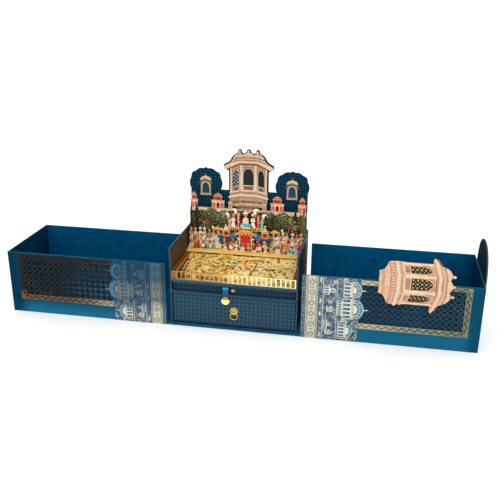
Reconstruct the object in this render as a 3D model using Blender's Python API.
# Folding jharokha gift box: a small two-drawer cabinet with a paper balcony
# scene on top, and two half shells hinged to its base board that fold up
# around it.  Modelled open, as displayed.
#
# Frame: origin in the middle of the base board's underside, +X to the right,
# +Y away from the viewer, +Z up.  Metres.

import math

import bmesh
import bpy
from mathutils import Matrix, Vector

for old in list(bpy.data.objects):
    bpy.data.objects.remove(old, do_unlink=True)

MM = 0.001
GAP = 0.3                  # clearance between neighbouring pieces

# ---- driving dimensions, millimetres ---------------------------------------
DEPTH = 150.7              # outside depth of the half shells, front to back
HALF_Y = DEPTH / 2
BOARD = 2.0                # shell and base board
CASE = 3.0                 # cabinet board
HINGE_X = 113.9            # fold line, at the underside
SHELL_IN = 116.4           # hinge end of each shell
SHELL_OUT = 404.1          # outer end of each shell
SHELL_H = 113.6            # shell wall height
BASE_X = 113.0             # half length of the base board

CASE_X = 110.0             # half width of the cabinet
CASE_FRONT = -71.5         # front edges of the cabinet
CASE_BACK = 69.5
CASE_TOP = 141.0           # tops of the side walls
BOTTOM_Z = (2.3, 4.5)
DIVIDER_Z = (60.7, 63.2)
DECK_Z = (79.2, 82.7)
INNER_X = CASE_X - CASE - GAP

DRAWER_FACE = -68.2        # face of the lower drawer front, just inside the case
SLIM_FACE = -64.5          # face of the slim drawer front, set further back
DRAWER_REAR = 60.0
DRAWER_WALL = 2.0

RAIL_Z = (83.0, 100.0)     # gold balustrade and ledges
RAIL_POSTS = 27
REAR_LEDGE_TOP = 102.4     # the rear ledge stands a little over the side ones
LEDGE = 8.0                # side ledge width
REAR_LEDGE_Y = (24.6, 39.0)
FLOOR_REAR = 97.6          # the mirror floor slopes up from the rail to the rear ledge

PROCESSION_Y = (39.3, 41.3)
GARDEN_Y = (54.3, 56.3)
BACK_Y = (67.0, 69.5)

RING_R = 6.45              # pull ring, to the middle of its wire
RING_WIRE = 0.7
RING_EYE = (1.5, -70.6, 30.85)
RIBBON_X = (-17.7, -7.6)
RIBBON_PIVOT = (-12.65, -72.2, 75.2)
MEDAL_R = 7.2
MEDAL_Z = 52.7

TONGUE_X = (404.4, 406.9)
TONGUE_Y = 56.5
TONGUE_Z = (60.0, 111.0, 165.3)  # foot, spring of the round end, tip
MAGNET_Z = 150.0
MAGNET_R = 6.0

FACE_Y = -HALF_Y           # outside of the shells' front walls
RELIEF_Z = 113.4           # the relief is centred on the shell's rim


# ---- materials --------------------------------------------------------------
def material(name, colour, rough, metal=0.0):
    m = bpy.data.materials.new(name)
    m.use_nodes = True
    b = m.node_tree.nodes["Principled BSDF"]
    b.inputs["Base Color"].default_value = (*colour, 1.0)
    b.inputs["Roughness"].default_value = rough
    b.inputs["Metallic"].default_value = metal
    m.diffuse_color = (*colour, 1.0)
    return m


TEAL = (0.012, 0.110, 0.190)
NAVY = (0.010, 0.045, 0.090)
SLATE = (0.030, 0.075, 0.115)
GOLD = (0.830, 0.560, 0.170)
FOIL = (0.560, 0.480, 0.300)
SAND = (0.760, 0.540, 0.380)
CREAM = (0.620, 0.580, 0.500)
GREEN = (0.090, 0.120, 0.050)
RED = (0.480, 0.080, 0.060)
STEEL = (0.550, 0.560, 0.570)
BROWN = (0.075, 0.050, 0.030)
SATIN = (0.010, 0.130, 0.210)


# ---- building helpers -------------------------------------------------------
def axis_empty(name, at, parent=None):
    e = bpy.data.objects.new(name, None)
    bpy.context.scene.collection.objects.link(e)
    e["at"] = at
    if parent is None:
        e.location = Vector(at) * MM
    else:
        e.parent = parent
        e.location = (Vector(at) - Vector(parent["at"])) * MM
    return e


def finish(name, bm, parent, mat, smooth=False, cutter=False):
    """Turn a bmesh drawn in millimetres, in place, into a placed object."""
    bmesh.ops.recalc_face_normals(bm, faces=bm.faces)
    lo = Vector([min(v.co[k] for v in bm.verts) for k in range(3)])
    hi = Vector([max(v.co[k] for v in bm.verts) for k in range(3)])
    mid = (lo + hi) / 2
    bmesh.ops.translate(bm, verts=bm.verts, vec=-mid)
    bmesh.ops.scale(bm, verts=bm.verts, vec=(MM, MM, MM))
    me = bpy.data.meshes.new(name)
    bm.to_mesh(me)
    bm.free()
    ob = bpy.data.objects.new(name, me)
    bpy.context.scene.collection.objects.link(ob)
    ob.parent = parent
    ob.location = (mid - Vector(parent["at"])) * MM
    if smooth:
        me.shade_smooth()
        me.set_sharp_from_angle(angle=math.radians(35))
    if cutter:
        ob.hide_render = True
        ob.display_type = "WIRE"
    else:
        me.materials.append(material(name + "_finish", *mat))
    return ob


def slab(name, x, y, z, parent, mat, cutter=False):
    bm = bmesh.new()
    bmesh.ops.create_cube(bm, size=1.0)
    for v in bm.verts:
        v.co.x = x[0] if v.co.x < 0 else x[1]
        v.co.y = y[0] if v.co.y < 0 else y[1]
        v.co.z = z[0] if v.co.z < 0 else z[1]
    return finish(name, bm, parent, mat, cutter=cutter)


def plate(name, outline, along, span, parent, mat, cutter=False):
    """Extrude a closed outline: (x, z) pairs along Y, or (y, z) pairs along X."""
    bm = bmesh.new()
    if along == "y":
        vs = [bm.verts.new((a, span[0], b)) for a, b in outline]
        step = Vector((0, span[1] - span[0], 0))
    else:
        vs = [bm.verts.new((span[0], a, b)) for a, b in outline]
        step = Vector((span[1] - span[0], 0, 0))
    face = bm.faces.new(vs)
    out = bmesh.ops.extrude_face_region(bm, geom=[face], use_keep_orig=True)
    moved = [g for g in out["geom"] if isinstance(g, bmesh.types.BMVert)]
    bmesh.ops.translate(bm, verts=moved, vec=step)
    return finish(name, bm, parent, mat, cutter=cutter)


def turned(name, profile, centre, axis, parent, mat, n=32, cutter=False):
    """Spin a profile of (radius, offset) pairs, from axis to axis."""
    bm = bmesh.new()
    vs = [bm.verts.new((r, 0, h)) for r, h in profile]
    es = [bm.edges.new((vs[k], vs[k + 1])) for k in range(len(vs) - 1)]
    bmesh.ops.spin(bm, geom=vs + es, cent=(0, 0, 0), axis=(0, 0, 1),
                   angle=2 * math.pi, steps=n, use_merge=True)
    bmesh.ops.remove_doubles(bm, verts=bm.verts, dist=1e-4)
    turn = {"y": Matrix.Rotation(math.pi / 2, 3, "X"),
            "x": Matrix.Rotation(math.pi / 2, 3, "Y"),
            "z": Matrix.Identity(3)}[axis]
    bmesh.ops.transform(bm, matrix=turn.to_4x4(), verts=bm.verts)
    bmesh.ops.translate(bm, verts=bm.verts, vec=centre)
    return finish(name, bm, parent, mat, smooth=True, cutter=cutter)


def torus(name, centre, axis, big, small, parent, mat, n=36, m=10, cutter=False):
    bm = bmesh.new()
    vs = [bm.verts.new((big + small * math.cos(2 * math.pi * k / m), 0,
                        small * math.sin(2 * math.pi * k / m))) for k in range(m)]
    es = [bm.edges.new((vs[k], vs[(k + 1) % m])) for k in range(m)]
    bmesh.ops.spin(bm, geom=vs + es, cent=(0, 0, 0), axis=(0, 0, 1),
                   angle=2 * math.pi, steps=n, use_merge=True)
    bmesh.ops.remove_doubles(bm, verts=bm.verts, dist=1e-4)
    turn = {"y": Matrix.Rotation(math.pi / 2, 3, "X"),
            "x": Matrix.Rotation(math.pi / 2, 3, "Y")}[axis]
    bmesh.ops.transform(bm, matrix=turn.to_4x4(), verts=bm.verts)
    bmesh.ops.translate(bm, verts=bm.verts, vec=centre)
    return finish(name, bm, parent, mat, smooth=True, cutter=cutter)


def combine(ob, other, operation):
    mod = ob.modifiers.new(operation.lower() + "_" + other.name, "BOOLEAN")
    mod.operation = operation
    mod.solver = "EXACT"
    mod.object = other


def arc3(p, q, r, n):
    """n + 1 points on the circle from p through q to r."""
    (ax, ay), (bx, by), (cx, cy) = p, q, r
    d = 2 * (ax * (by - cy) + bx * (cy - ay) + cx * (ay - by))
    ux = ((ax * ax + ay * ay) * (by - cy) + (bx * bx + by * by) * (cy - ay)
          + (cx * cx + cy * cy) * (ay - by)) / d
    uy = ((ax * ax + ay * ay) * (cx - bx) + (bx * bx + by * by) * (ax - cx)
          + (cx * cx + cy * cy) * (bx - ax)) / d
    rad = math.hypot(ax - ux, ay - uy)
    a0 = math.atan2(ay - uy, ax - ux)
    a1 = math.atan2(by - uy, bx - ux)
    a2 = math.atan2(cy - uy, cx - ux)
    ccw = (a1 - a0) % (2 * math.pi) < (a2 - a0) % (2 * math.pi)
    sweep = (a2 - a0) % (2 * math.pi) if ccw else -((a0 - a2) % (2 * math.pi))
    return [(ux + rad * math.cos(a0 + sweep * k / n),
             uy + rad * math.sin(a0 + sweep * k / n)) for k in range(n + 1)]


def mirrored(half):
    """Close a symmetric outline from its right half, bottom to top."""
    right = list(half)
    left = [(-a, b) for a, b in reversed(half) if abs(a) > 1e-6]
    return right + left


def arch_opening(x, z, half_w, height, n=4):
    """Pointed arch opening: straight jambs and two arcs that meet in a point."""
    spring = z + height * 0.62
    top = z + height
    right = [(x + half_w, z)] + arc3((x + half_w, spring),
                                     (x + half_w * 0.72, spring + (top - spring) * 0.66),
                                     (x, top), n)
    left = [(2 * x - a, b) for a, b in reversed(right[:-1])]
    return right + left


# ---- bodies' reference points ----------------------------------------------
cabinet = axis_empty("cabinet_origin", (0, 0, 0))
left_half = axis_empty("left_fold_line", (-HINGE_X, 0, 0), cabinet)
right_half = axis_empty("right_fold_line", (HINGE_X, 0, 0), cabinet)
drawer = axis_empty("drawer_slide_origin", (0, DRAWER_FACE, 33.0), cabinet)
slim = axis_empty("slim_slide_origin", (0, SLIM_FACE, 71.0), cabinet)
ring_axis = axis_empty("ring_axis", RING_EYE, drawer)
ribbon_axis = axis_empty("ribbon_fold", RIBBON_PIVOT, slim)

# ---- cabinet ----------------------------------------------------------------
slab("base_board", (-BASE_X, BASE_X), (-HALF_Y, HALF_Y), (0, BOARD), cabinet, (TEAL, 0.55))
for side, s in (("left", -1), ("right", 1)):
    xs = sorted((s * CASE_X, s * (CASE_X - CASE)))
    slab("cabinet_%s_side" % side, xs, (CASE_FRONT, CASE_BACK), (BOTTOM_Z[0], CASE_TOP),
         cabinet, (BROWN, 0.55))
slab("cabinet_bottom", (-INNER_X, INNER_X), (CASE_FRONT, BACK_Y[0] - GAP), BOTTOM_Z,
     cabinet, (SLATE, 0.5))
slab("cabinet_divider", (-INNER_X, INNER_X), (CASE_FRONT, BACK_Y[0] - GAP), DIVIDER_Z,
     cabinet, (SLATE, 0.5))
slab("balcony_deck", (-INNER_X, INNER_X), (CASE_FRONT, BACK_Y[0] - GAP), DECK_Z,
     cabinet, (SLATE, 0.5))

# Balcony: sloping mirror floor, balustrade and ledges.
ledge_in = INNER_X - LEDGE
plate("balcony_floor", [(-67.9, RAIL_Z[0]), (-67.9, RAIL_Z[0] + 0.6),
                        (REAR_LEDGE_Y[0] - GAP, FLOOR_REAR), (REAR_LEDGE_Y[0] - GAP, FLOOR_REAR - 0.6)],
      "x", (-ledge_in + GAP, ledge_in - GAP), cabinet, (GOLD, 0.12, 1.0))
slab("left_ledge", (-INNER_X, -ledge_in), (-67.9, REAR_LEDGE_Y[0] - GAP), RAIL_Z,
     cabinet, (GOLD, 0.2, 1.0))
slab("right_ledge", (ledge_in, INNER_X), (-67.9, REAR_LEDGE_Y[0] - GAP), RAIL_Z,
     cabinet, (GOLD, 0.2, 1.0))
slab("rear_ledge", (-INNER_X, INNER_X), REAR_LEDGE_Y, (RAIL_Z[0], REAR_LEDGE_TOP), cabinet,
     (GOLD, 0.2, 1.0))


def balustrade(name, half, y, z, posts, post_w, rail_h, parent, mat):
    """A flat grille: two rails and evenly spaced square posts."""
    pitch = (2 * half - post_w) / (posts - 1)
    xs = []
    for k in range(posts):
        xs += [-half + k * pitch, -half + k * pitch + post_w]
    zs = [z[0], z[0] + rail_h, z[1] - rail_h, z[1]]
    bm = bmesh.new()
    grid = [[bm.verts.new((x, y[0], h)) for h in zs] for x in xs]
    for i in range(len(xs) - 1):
        for j in range(3):
            if j == 1 and i % 2 == 1:
                continue
            bm.faces.new((grid[i][j], grid[i + 1][j], grid[i + 1][j + 1], grid[i][j + 1]))
    out = bmesh.ops.extrude_face_region(bm, geom=bm.faces[:], use_keep_orig=True)
    moved = [g for g in out["geom"] if isinstance(g, bmesh.types.BMVert)]
    bmesh.ops.translate(bm, verts=moved, vec=(0, y[1] - y[0], 0))
    return finish(name, bm, parent, mat)


balustrade("front_balustrade", INNER_X - 0.2, (-70.6, -68.4), RAIL_Z, RAIL_POSTS, 2.2, 1.3,
           cabinet, (GOLD, 0.2, 1.0))


# Procession card: a row of heads with a taller canopy group in the middle.
def procession_top():
    pts = []
    heads = 26
    x0, x1 = -106.4, 106.4
    for k in range(heads):
        a = x0 + (x1 - x0) * k / heads
        b = x0 + (x1 - x0) * (k + 1) / heads
        m = (a + b) / 2
        base = 143.0 + 3.0 * math.sin(1.7 * k) + (24.0 if abs(m) < 24 else 0.0) \
            + (9.0 if 24 <= abs(m) < 50 else 0.0)
        pts += [(a + 0.5, base - 3.0), (m - 1.8, base + 3.0), (m + 1.8, base + 3.0),
                (b - 0.5, base - 3.0)]
    return pts


plate("procession_panel", [(106.4, RAIL_Z[0]), (-106.4, RAIL_Z[0])] + procession_top(),
      "y", PROCESSION_Y, cabinet, (RED, 0.6))


# Garden card: a low wall, four small pavilions.
def pavilion(x, half, z0, top):
    return [(x - half, z0), (x - half, z0 + 14), (x - half - 1.5, z0 + 15.5),
            (x - half * 0.6, z0 + 17), (x - half * 0.6, top - 6)] \
        + arc3((x - half * 0.7, top - 5.5), (x, top - 1.0), (x + half * 0.7, top - 5.5), 6) \
        + [(x + half * 0.6, top - 6), (x + half * 0.6, z0 + 17),
           (x + half + 1.5, z0 + 15.5), (x + half, z0 + 14), (x + half, z0)]


garden = [(106.5, RAIL_Z[0]), (-106.5, RAIL_Z[0]), (-106.5, 177.0)]
for px, ph in ((-97.5, 7.0), (-54.0, 11.5), (54.0, 11.5), (97.5, 7.0)):
    garden += pavilion(px, ph, 177.0, 206.0)
garden += [(106.5, 177.0)]
plate("garden_panel", garden, "y", GARDEN_Y, cabinet, (GREEN, 0.6))

slab("front_spacer", (-95, 95), (PROCESSION_Y[1] + GAP, GARDEN_Y[0] - GAP), (RAIL_Z[0], 96.0),
     cabinet, (SLATE, 0.7))
slab("rear_spacer", (-95, 95), (GARDEN_Y[1] + GAP, BACK_Y[0] - GAP), (RAIL_Z[0], 96.0),
     cabinet, (SLATE, 0.7))

# Backdrop: full-height back board with two lobed arches and a tall middle.
ARCH_X, ARCH_TOP = 78.7, 248.0


def lobes():
    """One side of a lobed arch, from its neck up to the point, as offsets."""
    neck, cusp2, cusp1 = (27.3, 207.0), (26.9, 228.9), (18.9, 239.8)
    pts = arc3(neck, (30.3, 219.0), cusp2, 6)
    pts += arc3(cusp2, (25.4, 236.2), cusp1, 4)[1:]
    pts += arc3(cusp1, (12.8, 244.4), (4.2, 245.0), 4)[1:]
    pts += [(2.0, 246.0), (0.0, ARCH_TOP)]
    return pts


# Outline of the middle pavilion, right half, bottom to top: walls, eave,
# roof, three small domes with finials.
PAV_WALL, PAV_EAVE, PAV_ROOF = 34.5, 43.7, 27.5
PAV_FINIALS = (16.0, 0.0)


def roof_half(grow):
    g = grow
    pts = [(PAV_WALL + g, 243.0 - g), (PAV_EAVE + g, 246.0 - g), (PAV_EAVE + g, 249.0 + g * 0.6),
           (36.5 + g, 254.0 + g), (31.5 + g, 257.5 + g), (PAV_ROOF + g + 1.5, 261.5),
           (PAV_ROOF + g + 0.6, 266.0)]
    pts += arc3((PAV_ROOF + g, 268.0), (22.6 + g * 0.7, 273.0 + g * 0.8),
                (18.4 + g * 0.4, 275.5 + g), 3)
    fx = PAV_FINIALS[0]
    pts += [(fx + 1.0 + g * 0.6, 279.0 + g), (fx, 281.0 + g), (fx - 1.0 - g * 0.6, 279.0 + g)]
    pts += [(13.4 - g * 0.4, 274.5 + g), (9.0, 270.5 + g), (4.2 + g * 0.4, 274.5 + g),
            (1.0 + g * 0.6, 279.5 + g), (0.0, 281.4 + g)]
    return pts


right_edge = [(0.0, BOTTOM_Z[0]), (106.7, BOTTOM_Z[0]), (106.7, 206.5)]
arch = lobes()
right_edge += [(ARCH_X + a, b) for a, b in arch]
right_edge += [(ARCH_X - a, b) for a, b in reversed(arch[:-1])]
right_edge += [(PAV_WALL + 1.8, 207.0)]
right_edge += roof_half(1.6)
back = plate("back_panel", mirrored(right_edge), "y", BACK_Y, cabinet, (NAVY, 0.5))

WINDOWS = ((-22.6, 5.2, 215.2, 30.6), (0.0, 9.2, 218.4, 30.4), (22.6, 5.2, 215.2, 30.6))
body = plate("backdrop_jharokha_body",
             mirrored([(0.0, 168.0), (26.0, 168.0), (31.0, 178.0), (34.0, 186.0), (35.6, 188.5),
                       (35.6, 204.5), (PAV_WALL, 205.5), (PAV_WALL, 246.0), (14.5, 253.4), (0.0, 253.4)]),
             "y", (62.5, BACK_Y[0] - GAP), cabinet, (SAND, 0.6))
for k, (wx, ww, wz, wh) in enumerate(WINDOWS):
    c = plate("window_cutter_%d" % k, arch_opening(wx, wz, ww, wh), "y", (50.0, 80.0), cabinet,
              None, cutter=True)
    combine(back, c, "DIFFERENCE")
    combine(body, c, "DIFFERENCE")

roof = [(0.0, 254.2), (14.7, 254.2), (PAV_WALL + 1.0, 246.3)] + roof_half(0.0)[1:]
plate("backdrop_jharokha_roof", mirrored(roof), "y", (59.5, BACK_Y[0] - GAP), cabinet, (SAND, 0.6))

for side, s in (("left", -1), ("right", 1)):
    cx = s * ARCH_X
    half = [(0.0, 196.4), (10.2, 196.4), (10.2, 217.4), (13.2, 216.4), (13.4, 218.4),
            (11.0, 221.9)]
    half += arc3((11.0, 223.4), (8.2, 229.2), (2.2, 232.2), 4)
    half += [(0.9, 235.2), (0.0, 237.0)]
    out = [(cx + a, b) for a, b in mirrored(half)]
    w = plate("arch_window_%s" % side, out, "y", (65.0, BACK_Y[0] - GAP), cabinet, (SAND, 0.6))
    c = plate("arch_cutter_%s" % side, arch_opening(cx, 199.8, 6.5, 19.8), "y", (60.0, 70.0),
              cabinet, None, cutter=True)
    combine(w, c, "DIFFERENCE")

# ---- half shells ------------------------------------------------------------
for side, s, body_e in (("left", -1, left_half), ("right", 1, right_half)):
    def span(a, b):
        return sorted((s * a, s * b))

    slab("%s_floor" % side, span(SHELL_IN, SHELL_OUT), (-HALF_Y, HALF_Y), (0, BOARD),
         body_e, (TEAL, 0.6))
    slab("%s_front_wall" % side, span(SHELL_IN, SHELL_OUT), (-HALF_Y, -HALF_Y + BOARD),
         (BOARD + GAP, SHELL_H), body_e, (TEAL, 0.6))
    slab("%s_back_wall" % side, span(SHELL_IN, SHELL_OUT), (HALF_Y - BOARD, HALF_Y),
         (BOARD + GAP, SHELL_H), body_e, (TEAL, 0.6))
    end = slab("%s_end_wall" % side, span(SHELL_OUT - BOARD, SHELL_OUT),
               (-HALF_Y + BOARD + GAP, HALF_Y - BOARD - GAP), (BOARD + GAP, SHELL_H),
               body_e, (NAVY, 0.6))
    # Cloth hinge in the fold between the base board and the shell's floor.
    slab("%s_hinge_cloth" % side, span(HINGE_X + 0.2, SHELL_IN - GAP), (-HALF_Y, HALF_Y),
         (0, 0.5), body_e, (TEAL, 0.8))
    # Skins on the front wall: printed band, foil frame, pierced jali sheet.
    y1 = FACE_Y - GAP
    slab("%s_print_band" % side, span(SHELL_IN, 210.0), (y1 - 0.3, y1), (0.3, SHELL_H - 0.3),
         body_e, (CREAM, 0.5))
    frame = slab("%s_foil_frame" % side, span(211.0, 385.5), (y1 - 0.7, y1), (25.0, 112.0),
                 body_e, (FOIL, 0.3, 0.8))
    hole = slab("%s_frame_cutter" % side, span(217.0, 376.0), (y1 - 3, y1 + 3), (35.0, 104.0),
                body_e, None, cutter=True)
    combine(frame, hole, "DIFFERENCE")
    slab("%s_jali_panel" % side, span(217.0 + GAP, 376.0 - GAP), (y1 - 0.5, y1),
         (35.0 + GAP, 104.0 - GAP), body_e, (NAVY, 0.5))
    if side == "left":
        # Steel keeper let into the inside of the end wall, opposite the magnet
        # when the box is shut.
        kz = 2 * HINGE_X - MAGNET_Z
        kx = -(SHELL_OUT - BOARD)
        pocket = turned("keeper_pocket", [(0, -1.5), (MAGNET_R + GAP, -1.5),
                                          (MAGNET_R + GAP, 1.5), (0, 1.5)],
                        (kx, 0, kz), "x", body_e, None, n=24, cutter=True)
        combine(end, pocket, "DIFFERENCE")
        turned("left_keeper_plate", [(0, -0.55), (MAGNET_R, -0.55), (MAGNET_R, 0.55), (0, 0.55)],
               (kx - 0.6, 0, kz), "x", body_e, (STEEL, 0.35, 1.0), n=24)

# Closing tongue on the outside of the right shell's end, with its magnet.
tz0, tz1, tz2 = TONGUE_Z
tongue_out = [(TONGUE_Y, tz0)]
for k in range(25):
    a = math.pi * k / 24
    # slightly squared ellipse
    tongue_out.append((TONGUE_Y * math.copysign(abs(math.cos(a)) ** 0.9, math.cos(a)),
                       tz1 + (tz2 - tz1) * math.sin(a) ** 0.9))
tongue_out.append((-TONGUE_Y, tz0))
tongue = plate("closing_tongue", tongue_out, "x", TONGUE_X, right_half, (NAVY, 0.55))
pocket = turned("magnet_pocket", [(0, -1.5), (MAGNET_R + GAP, -1.5), (MAGNET_R + GAP, 1.5),
                                  (0, 1.5)],
                (TONGUE_X[0], 0, MAGNET_Z), "x", right_half, None, n=24, cutter=True)
combine(tongue, pocket, "DIFFERENCE")
turned("tongue_magnet", [(0, -0.5), (MAGNET_R, -0.5), (MAGNET_R, 0.5), (0, 0.5)],
       (TONGUE_X[0] + 0.6, 0, MAGNET_Z), "x", right_half, (STEEL, 0.3, 1.0), n=24)

# Relief of a jharokha, mounted across the right shell's rim, its roof toward
# the outer end so that it stands upright when the shell is folded up.
RELIEF_BASE, RELIEF_TIP = 239.5, 359.5


def relief_side(grow):
    """Offsets from the relief's middle line, base to tip: (x, half height)."""
    g = grow
    return [(RELIEF_BASE - g, 19.6 + g), (247.0, 26.5 + g), (252.0, 26.8 + g), (253.5, 37.0 + g),
            (275.0, 37.0 + g), (276.0, 35.6 + g), (319.6, 35.6 + g)]


def relief_roof(grow):
    g = grow
    pts = [(320.4, 36.5 + g), (321.0 - g, 46.0 + g), (328.0 + g, 46.0 + g), (333.0 + g, 38.0 + g),
           (337.0 + g, 33.0 + g), (341.0 + g, 30.5 + g)]
    pts += arc3((343.0, 30.0 + g), (349.0 + g, 25.5 + g), (351.5 + g, 19.5), 3)
    pts += [(356.0 + g, 18.0 + g * 0.5), (357.5 + g, 16.8), (356.0 + g, 15.6 - g * 0.5),
            (351.0 + g, 14.2), (347.6 + g, 9.0), (352.0 + g, 4.0),
            (356.5 + g, 1.2 + g * 0.5), (358.5 + g, 0.0)]
    return pts


def lying(half):
    """(x, offset) half outline to a closed (x, z) outline on the rim's line."""
    up = [(x, RELIEF_Z + v) for x, v in half]
    down = [(x, RELIEF_Z - v) for x, v in reversed(half) if abs(v) > 1e-6]
    return up + down


ry = FACE_Y - 1.0 - GAP                # clear of the skins on both shells
plate("relief_back_plate", lying(relief_side(0.6) + relief_roof(0.6)), "y", (ry - 1.7, ry),
      right_half, (NAVY, 0.5))
slab("relief_lattice", (284.0, 319.0), (ry - 2.6, ry - 2.0), (RELIEF_Z - 30.5, RELIEF_Z + 30.5),
     right_half, (NAVY, 0.5))
relief = plate("relief_body", lying(relief_side(0.0)), "y", (ry - 6.4, ry - 2.9),
               right_half, (SAND, 0.6))
for k, (wv, ww) in enumerate(((-22.6, 5.6), (0.0, 9.6), (22.6, 5.6))):
    op = arch_opening(wv, 287.5, ww, 31.0)
    c = plate("relief_window_%d" % k, [(b, RELIEF_Z + a) for a, b in op], "y",
              (ry - 9.0, ry - 2.7), right_half, None, cutter=True)
    combine(relief, c, "DIFFERENCE")
plate("relief_roof", lying(relief_roof(0.0)), "y", (ry - 8.4, ry - 2.0), right_half, (SAND, 0.6))

# ---- lower drawer -----------------------------------------------------------
dx = INNER_X - 0.5
slab("drawer_front", (-dx, dx), (DRAWER_FACE, DRAWER_FACE + 2.5), (5.0, 60.2), drawer,
     (SLATE, 0.5))
back_of_front = DRAWER_FACE + 2.5 + GAP
slab("drawer_bottom", (-dx, dx), (back_of_front, DRAWER_REAR), (5.0, 7.0), drawer, (SLATE, 0.7))
for side, s in (("left", -1), ("right", 1)):
    slab("drawer_%s_side" % side, sorted((s * dx, s * (dx - DRAWER_WALL))),
         (back_of_front, DRAWER_REAR), (7.3, 54.0), drawer, (SLATE, 0.7))
slab("drawer_rear", (-dx + DRAWER_WALL + GAP, dx - DRAWER_WALL - GAP),
     (DRAWER_REAR - DRAWER_WALL, DRAWER_REAR), (7.3, 54.0), drawer, (SLATE, 0.7))

# Domed rosette with an eye for the ring.  The turned profile grows toward the
# viewer, so offsets count along -Y.
rose = turned("drawer_rosette",
              [(0, 0.3), (7.2, 0.3), (7.2, 0.7), (6.4, 0.95), (5.0, 1.2), (2.6, 1.35), (0, 1.4)],
              (RING_EYE[0], DRAWER_FACE, 33.0), "y", drawer, (GOLD, 0.25, 1.0), n=28)
eye = torus("rosette_eye", RING_EYE, "x", 1.55, 0.55, drawer, None, n=16, m=8, cutter=True)
combine(rose, eye, "UNION")
torus("pull_ring", (RING_EYE[0], RING_EYE[1], RING_EYE[2] - RING_R), "y", RING_R, RING_WIRE,
      ring_axis, (GOLD, 0.2, 1.0), n=40, m=8)

# ---- slim drawer ------------------------------------------------------------
slab("slim_front", (-dx, dx), (SLIM_FACE, SLIM_FACE + 2.5), (63.7, 78.6), slim, (SLATE, 0.5))
back_of_slim = SLIM_FACE + 2.5 + GAP
slab("slim_bottom", (-dx, dx), (back_of_slim, DRAWER_REAR), (63.7, 65.2), slim, (SLATE, 0.7))
for side, s in (("left", -1), ("right", 1)):
    slab("slim_%s_side" % side, sorted((s * dx, s * (dx - DRAWER_WALL))),
         (back_of_slim, DRAWER_REAR), (65.5, 76.5), slim, (SLATE, 0.7))
slab("slim_rear", (-dx + DRAWER_WALL + GAP, dx - DRAWER_WALL - GAP),
     (DRAWER_REAR - DRAWER_WALL, DRAWER_REAR), (65.5, 76.5), slim, (SLATE, 0.7))
turned("slim_stud", [(0, 0.3), (3.0, 0.3), (2.8, 1.0), (1.4, 1.7), (0, 2.0)],
       (-1.1, SLIM_FACE, 68.8), "y", slim, (GOLD, 0.25, 1.0), n=8)

# Ribbon: a short run out of the front, then the hanging tab with its medal.
slab("ribbon_root", RIBBON_X, (RIBBON_PIVOT[1] + 0.6, SLIM_FACE - GAP), (75.6, 76.2), slim, (SATIN, 0.4))
slab("ribbon_pull", RIBBON_X, (RIBBON_PIVOT[1] - 0.3, RIBBON_PIVOT[1] + 0.3), (60.4, 74.9), ribbon_axis, (SATIN, 0.4))
turned("ribbon_medal", [(0, -0.7), (6.4, -0.7), (MEDAL_R, -0.3), (MEDAL_R, 0.3), (6.4, 0.7),
                        (0, 0.7)],
       (RIBBON_PIVOT[0], RIBBON_PIVOT[1], MEDAL_Z), "y", ribbon_axis, (GOLD, 0.15, 1.0), n=32)
